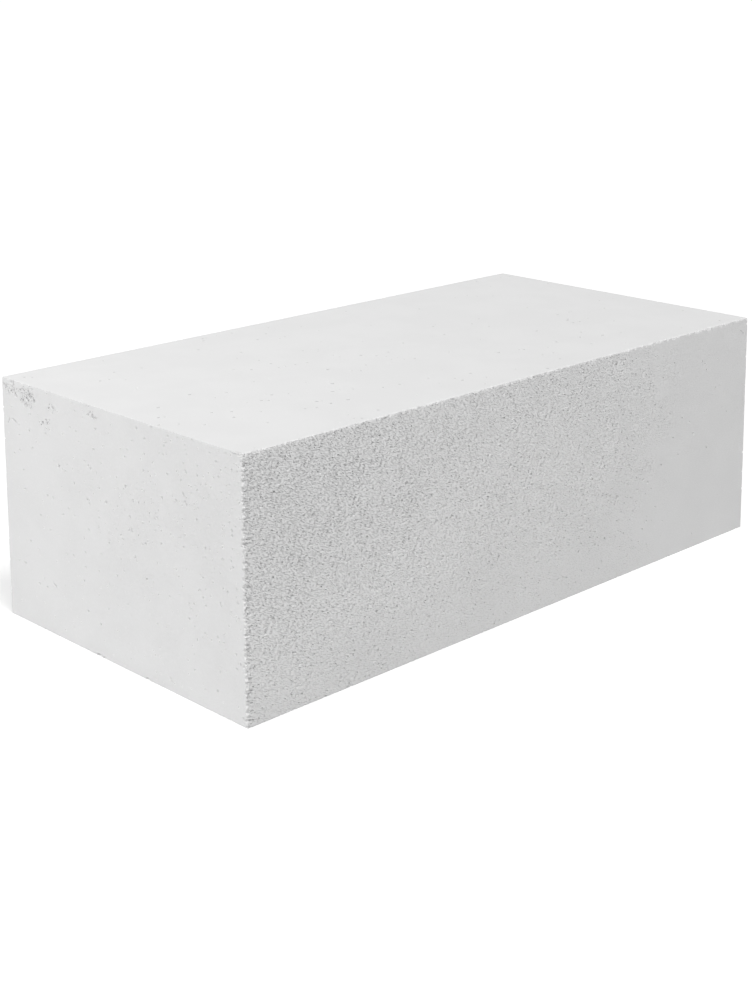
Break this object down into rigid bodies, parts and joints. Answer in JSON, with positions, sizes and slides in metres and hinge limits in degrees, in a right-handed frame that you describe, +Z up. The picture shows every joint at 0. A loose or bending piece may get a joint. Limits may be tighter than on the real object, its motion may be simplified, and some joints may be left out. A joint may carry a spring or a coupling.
{
  "type": "aerated concrete block",
  "caption": "Solid rectangular wall block of pale aerated concrete, with porous wire-cut long faces, smooth heads and beds, and slightly crumbled arrises.",
  "frame": {"origin": "centre of the lower bed face", "axes": "+X along the length, +Y across the width, +Z up through the beds"},
  "size_m": [0.6, 0.3, 0.2],
  "materials": {
    "aerated_concrete": "matte, dusty and open-pored"
  },
  "bodies": {
    "root": {"block": "aerated_concrete"}
  },
  "joints": []
}
